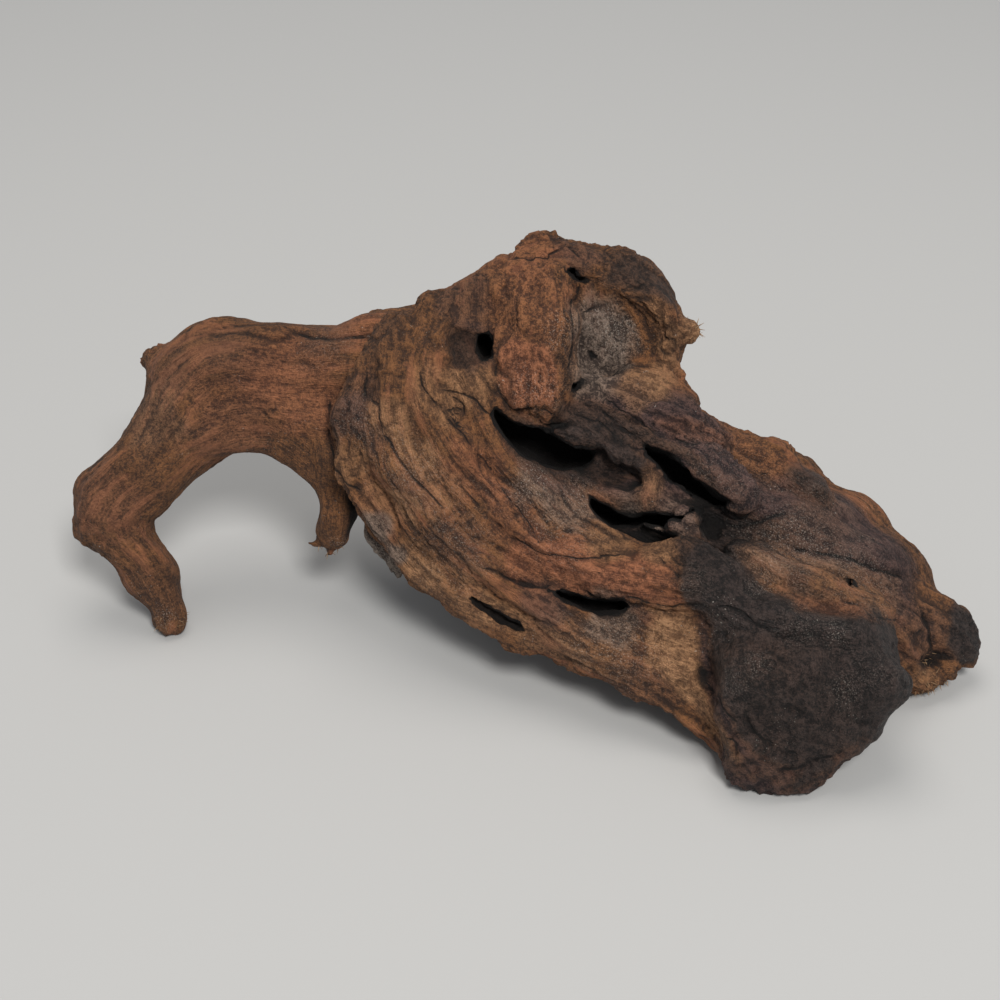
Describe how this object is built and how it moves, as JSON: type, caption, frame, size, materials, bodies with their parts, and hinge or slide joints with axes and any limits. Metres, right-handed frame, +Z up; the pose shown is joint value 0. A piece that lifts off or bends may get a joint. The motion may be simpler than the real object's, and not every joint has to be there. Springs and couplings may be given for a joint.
{
  "type": "aquarium driftwood",
  "caption": "Knotted brown driftwood root standing on a thin bent arm and a thick charred knob, with a hollow head, rotted gaps and an open arch to swim through.",
  "frame": {"origin": "on the ground under the middle of the wood's bounding box", "axes": "+X from the bent arm to the tail, along the longest extent; +Y from the charred knob to the back; +Z up"},
  "size_m": [0.2934, 0.1464, 0.1293],
  "materials": {
    "weathered_wood": "dry weathered root wood, orange brown to dark brown along its grain, charred black on the knob"
  },
  "bodies": {
    "root": {"driftwood": "weathered_wood"}
  },
  "joints": []
}
